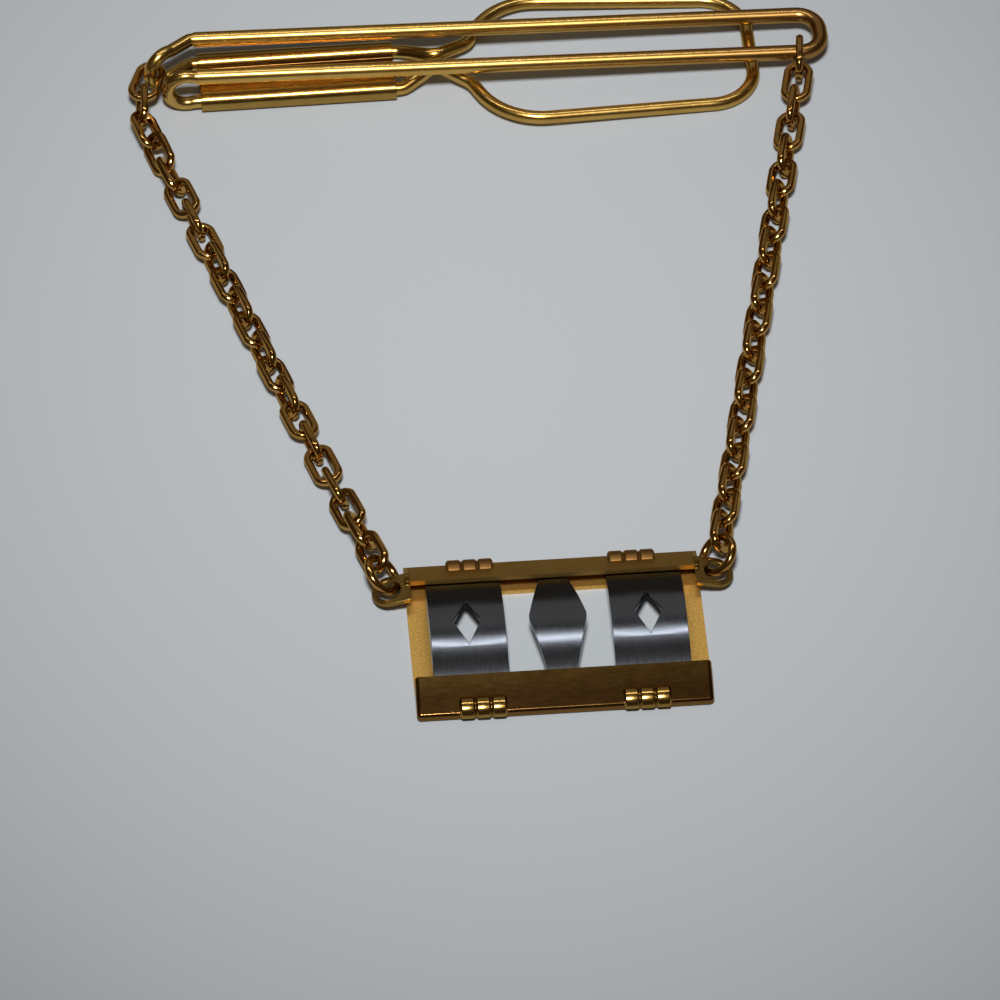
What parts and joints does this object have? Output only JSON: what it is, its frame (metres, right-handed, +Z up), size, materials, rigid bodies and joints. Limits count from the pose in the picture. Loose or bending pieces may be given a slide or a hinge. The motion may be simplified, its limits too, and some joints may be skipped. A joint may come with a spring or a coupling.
{
  "type": "tie clip",
  "caption": "Sprung wire tie clip whose oval-link chain strands carry a channel-framed plaque with pierced tablets and a pointed centre plate across the tie.",
  "frame": {"origin": "on the table, under the middle of the whole object as it lies", "axes": "+X along the clip from its spring to its open end, +Y from the plaque to the clip, +Z up, out of the front of the tie"},
  "size_m": [0.0614, 0.0822, 0.0046],
  "materials": {
    "gold_polished": "polished gold plate",
    "gold_satin": "satin gold plate",
    "gold_chain": "faceted gold plate",
    "steel_dark": "dark steel, finely streaked along its height"
  },
  "bodies": {
    "clip_front": {"front_bar": "gold_polished", "near_spring": "gold_polished", "far_spring": "gold_polished"},
    "clip_back": {"crimp_sleeve": "gold_polished", "grip_paddle": "gold_polished"},
    "left_end_link": {"left_link_01": "gold_chain"},
    "row_01": {"left_link_02": "gold_chain", "right_link_01": "gold_chain"},
    "row_02": {"left_link_03": "gold_chain", "right_link_02": "gold_chain"},
    "row_03": {"left_link_04": "gold_chain", "right_link_03": "gold_chain"},
    "row_04": {"left_link_05": "gold_chain", "right_link_04": "gold_chain"},
    "row_05": {"left_link_06": "gold_chain", "right_link_05": "gold_chain"},
    "row_06": {"left_link_07": "gold_chain", "right_link_06": "gold_chain"},
    "row_07": {"left_link_08": "gold_chain", "right_link_07": "gold_chain"},
    "row_08": {"left_link_09": "gold_chain", "right_link_08": "gold_chain"},
    "row_09": {"left_link_10": "gold_chain", "right_link_09": "gold_chain"},
    "row_10": {"left_link_11": "gold_chain", "right_link_10": "gold_chain"},
    "row_11": {"left_link_12": "gold_chain", "right_link_11": "gold_chain"},
    "row_12": {"left_link_13": "gold_chain", "right_link_12": "gold_chain"},
    "row_13": {"left_link_14": "gold_chain", "right_link_13": "gold_chain"},
    "row_14": {"left_link_15": "gold_chain", "right_link_14": "gold_chain"},
    "row_15": {"left_link_16": "gold_chain", "right_link_15": "gold_chain"},
    "row_16": {"left_link_17": "gold_chain", "right_link_16": "gold_chain"},
    "row_17": {"left_link_18": "gold_chain", "right_link_17": "gold_chain"},
    "row_18": {"left_link_19": "gold_chain", "right_link_18": "gold_chain"},
    "row_19": {"left_link_20": "gold_chain", "right_link_19": "gold_chain"},
    "row_20": {"left_link_21": "gold_chain", "right_link_20": "gold_chain"},
    "row_21": {"left_link_22": "gold_chain", "right_link_21": "gold_chain"},
    "jump_rings": {"left_jump_ring": "gold_chain", "right_jump_ring": "gold_chain"},
    "plaque": {"plaque_frame": "gold_polished", "left_lug": "gold_satin", "right_lug": "gold_satin", "corner_beads": "gold_polished"},
    "left_tablet": {"left_tablet": "steel_dark"},
    "centre_tablet": {"centre_tablet": "steel_dark"},
    "right_tablet": {"right_tablet": "steel_dark"}
  },
  "joints": [
    {"name": "clip_open", "type": "hinge", "parent": "clip_front", "child": "clip_back", "pos_m": [-0.02554, 0.03346, 0.00241], "axis": [0, 1, 0], "range_deg": [0, 11], "stiffness_Nm_per_rad": 0.5, "springref_deg": -5.73, "deforming": ["near_spring", "far_spring"]},
    {"name": "left_end_twist", "type": "hinge", "parent": "clip_front", "child": "left_end_link", "pos_m": [-0.02834, 0.03385, 0.0024], "axis": [-0.3905, -0.9159, -0.0931], "range_deg": [-15, 6]},
    {"name": "row_01_swing", "type": "hinge", "parent": "clip_front", "child": "row_01", "pos_m": [-0.02943, 0.0313, 0.00214], "axis": [1, -0.0024, 0.0022], "range_deg": [-20, 15]},
    {"name": "row_02_swing", "type": "hinge", "parent": "row_01", "child": "row_02", "pos_m": [-0.02958, 0.02852, 0.00188], "axis": [-0.9999, -0.0116, -0.0026], "range_deg": [-18, 12]},
    {"name": "row_03_swing", "type": "hinge", "parent": "row_02", "child": "row_03", "pos_m": [-0.02877, 0.02586, 0.00162], "axis": [0.9999, 0.011, 0.0031], "range_deg": [-20, 24]},
    {"name": "row_04_swing", "type": "hinge", "parent": "row_03", "child": "row_04", "pos_m": [-0.02796, 0.02321, 0.00136], "axis": [-0.9999, -0.0105, -0.0036], "range_deg": [-24, 20]},
    {"name": "row_05_swing", "type": "hinge", "parent": "row_04", "child": "row_05", "pos_m": [-0.02715, 0.02054, 0.00136], "axis": [0.9999, 0.01, -0.0008], "range_deg": [-20, 24]},
    {"name": "row_06_swing", "type": "hinge", "parent": "row_05", "child": "row_06", "pos_m": [-0.02634, 0.01787, 0.00136], "axis": [-1, -0.0094, 0.0008], "range_deg": [-22, 20]},
    {"name": "row_07_swing", "type": "hinge", "parent": "row_06", "child": "row_07", "pos_m": [-0.02553, 0.0152, 0.00136], "axis": [1, 0.0088, -0.0008], "range_deg": [-20, 22]},
    {"name": "row_08_swing", "type": "hinge", "parent": "row_07", "child": "row_08", "pos_m": [-0.02471, 0.01253, 0.00136], "axis": [-1, -0.0081, 0.0008], "range_deg": [-22, 20]},
    {"name": "row_09_swing", "type": "hinge", "parent": "row_08", "child": "row_09", "pos_m": [-0.0239, 0.00986, 0.00136], "axis": [1, 0.0074, -0.0009], "range_deg": [-24, 24]},
    {"name": "row_10_swing", "type": "hinge", "parent": "row_09", "child": "row_10", "pos_m": [-0.02309, 0.00719, 0.00136], "axis": [-1, -0.0066, 0.0009], "range_deg": [-24, 24]},
    {"name": "row_11_swing", "type": "hinge", "parent": "row_10", "child": "row_11", "pos_m": [-0.02228, 0.00452, 0.00136], "axis": [1, 0.0058, -0.0009], "range_deg": [-24, 24]},
    {"name": "row_12_swing", "type": "hinge", "parent": "row_11", "child": "row_12", "pos_m": [-0.02147, 0.00185, 0.00136], "axis": [-1, -0.0049, 0.0009], "range_deg": [-24, 24]},
    {"name": "row_13_swing", "type": "hinge", "parent": "row_12", "child": "row_13", "pos_m": [-0.02066, -0.00082, 0.00136], "axis": [1, 0.0039, -0.001], "range_deg": [-24, 24]},
    {"name": "row_14_swing", "type": "hinge", "parent": "row_13", "child": "row_14", "pos_m": [-0.01984, -0.00349, 0.00136], "axis": [-1, -0.0029, 0.001], "range_deg": [-24, 24]},
    {"name": "row_15_swing", "type": "hinge", "parent": "row_14", "child": "row_15", "pos_m": [-0.01903, -0.00616, 0.00136], "axis": [1, 0.0018, -0.001], "range_deg": [-24, 24]},
    {"name": "row_16_swing", "type": "hinge", "parent": "row_15", "child": "row_16", "pos_m": [-0.01822, -0.00883, 0.00136], "axis": [-1, -0.0007, 0.0011], "range_deg": [-24, 24]},
    {"name": "row_17_swing", "type": "hinge", "parent": "row_16", "child": "row_17", "pos_m": [-0.01741, -0.0115, 0.00136], "axis": [1, -0.0006, -0.0011], "range_deg": [-24, 24]},
    {"name": "row_18_swing", "type": "hinge", "parent": "row_17", "child": "row_18", "pos_m": [-0.0166, -0.01416, 0.00136], "axis": [-1, 0.002, 0.0012], "range_deg": [-24, 24]},
    {"name": "row_19_swing", "type": "hinge", "parent": "row_18", "child": "row_19", "pos_m": [-0.01579, -0.01683, 0.00155], "axis": [1, -0.0035, -0.0009], "range_deg": [-24, 24]},
    {"name": "row_20_swing", "type": "hinge", "parent": "row_19", "child": "row_20", "pos_m": [-0.01498, -0.01949, 0.00175], "axis": [-1, 0.0051, 0.0006], "range_deg": [-24, 24]},
    {"name": "row_21_swing", "type": "hinge", "parent": "row_20", "child": "row_21", "pos_m": [-0.01417, -0.02215, 0.00194], "axis": [1, -0.0069, -0.0003], "range_deg": [-24, 24]},
    {"name": "ring_swing", "type": "hinge", "parent": "row_21", "child": "jump_rings", "pos_m": [-0.01336, -0.02482, 0.00213], "axis": [1, -0.0088, 0], "range_deg": [-25, 5]},
    {"name": "plaque_swing", "type": "hinge", "parent": "jump_rings", "child": "plaque", "pos_m": [-0.01262, -0.02727, 0.0013], "axis": [0.9999, -0.0108, 0], "range_deg": [0, 25]},
    {"name": "left_tablet_slide", "type": "slide", "parent": "plaque", "child": "left_tablet", "axis": [0.9999, -0.0108, 0], "range_m": [-0.0008, 0.0009]},
    {"name": "centre_tablet_slide", "type": "slide", "parent": "plaque", "child": "centre_tablet", "axis": [0.9999, -0.0108, 0], "range_m": [-0.0009, 0.0009]},
    {"name": "right_tablet_slide", "type": "slide", "parent": "plaque", "child": "right_tablet", "axis": [0.9999, -0.0108, 0], "range_m": [-0.0009, 0.0008]}
  ]
}
